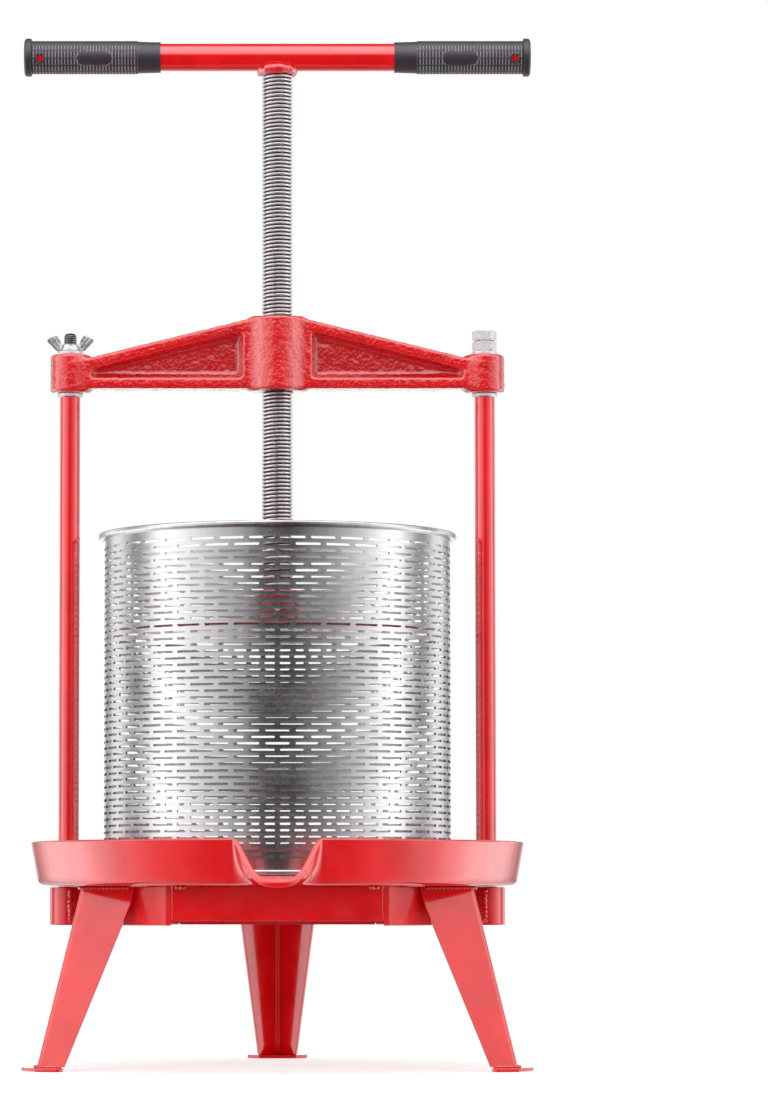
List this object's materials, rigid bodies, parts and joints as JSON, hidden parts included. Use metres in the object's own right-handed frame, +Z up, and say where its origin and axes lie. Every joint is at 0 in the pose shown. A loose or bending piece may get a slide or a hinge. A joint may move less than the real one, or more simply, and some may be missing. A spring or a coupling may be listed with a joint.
{
  "type": "fruit press",
  "caption": "Hand-turned fruit press: a screw through a cast beam drives a plate down a slotted steel drum on a spouted juice tray.",
  "frame": {"origin": "on the screw's axis, at the level of the feet, at the centre of the base of the bounding box", "axes": "+Z up along the screw, X along the beam from the wing nut (-X) to the hexagon nuts (+X), -Y towards the spout"},
  "size_m": [0.4, 0.4341, 0.8091],
  "materials": {
    "red_enamel": "gloss",
    "cast_red_enamel": "satin",
    "stainless_sheet": "satin",
    "zinc_plate": "polished",
    "screw_steel": "satin",
    "grip_rubber": "matte"
  },
  "bodies": {
    "stand": {"foot_pad_front_left": "red_enamel", "foot_pad_front_right": "red_enamel", "foot_pad_rear": "red_enamel", "leg_front_left": "red_enamel", "leg_front_right": "red_enamel", "leg_rear": "red_enamel", "front_apron": "red_enamel", "rear_bar": "red_enamel", "side_bar_front_left": "red_enamel", "side_bar_front_right": "red_enamel", "side_bar_rear_left": "red_enamel", "side_bar_rear_right": "red_enamel", "socket_left": "red_enamel", "socket_right": "red_enamel", "tray": "red_enamel", "post_left": "red_enamel", "post_right": "red_enamel", "beam_washer_left": "zinc_plate", "beam_washer_right": "zinc_plate", "cross_beam": "cast_red_enamel", "top_washer_right": "zinc_plate", "hex_nut": "zinc_plate", "lock_nut": "zinc_plate"},
    "drum": {"basket": "stainless_sheet", "basket_rim": "stainless_sheet", "basket_hoop": "stainless_sheet"},
    "plate": {"press_plate": "cast_red_enamel", "plate_hub": "cast_red_enamel", "retaining_screw_front": "zinc_plate", "retaining_screw_rear": "zinc_plate"},
    "screw": {"spindle": "screw_steel", "handle_weld": "red_enamel", "handle_bar": "red_enamel", "grip_left": "grip_rubber", "grip_right": "grip_rubber"},
    "quick_release_washer": {"top_washer_left": "zinc_plate"},
    "quick_release_nut": {"wing_nut": "zinc_plate"}
  },
  "joints": [
    {"name": "plate_travel", "type": "slide", "parent": "stand", "child": "plate", "axis": [0, 0, 1], "range_m": [-0.185, 0.155]},
    {"name": "screw_turn", "type": "hinge", "parent": "plate", "child": "screw", "pos_m": [0, 0, 0.344], "axis": [0, 0, 1], "range_deg": [-22080, 18480]},
    {"name": "drum_lift", "type": "slide", "parent": "stand", "child": "drum", "axis": [0, 0, 1], "range_m": [0, 0.09]},
    {"name": "washer_lift", "type": "slide", "parent": "stand", "child": "quick_release_washer", "axis": [0, 0, 1], "range_m": [0, 0.0101]},
    {"name": "wing_nut_turn", "type": "hinge", "parent": "quick_release_washer", "child": "quick_release_nut", "pos_m": [-0.163, 0, 0.5597], "axis": [0, 0, 1], "range_deg": [0, 2400]}
  ],
  "couplings": [
    {"joint": "plate_travel", "follows": "screw_turn", "m_per_rad": 0.00047746},
    {"joint": "washer_lift", "follows": "wing_nut_turn", "m_per_rad": 0.00023873}
  ]
}
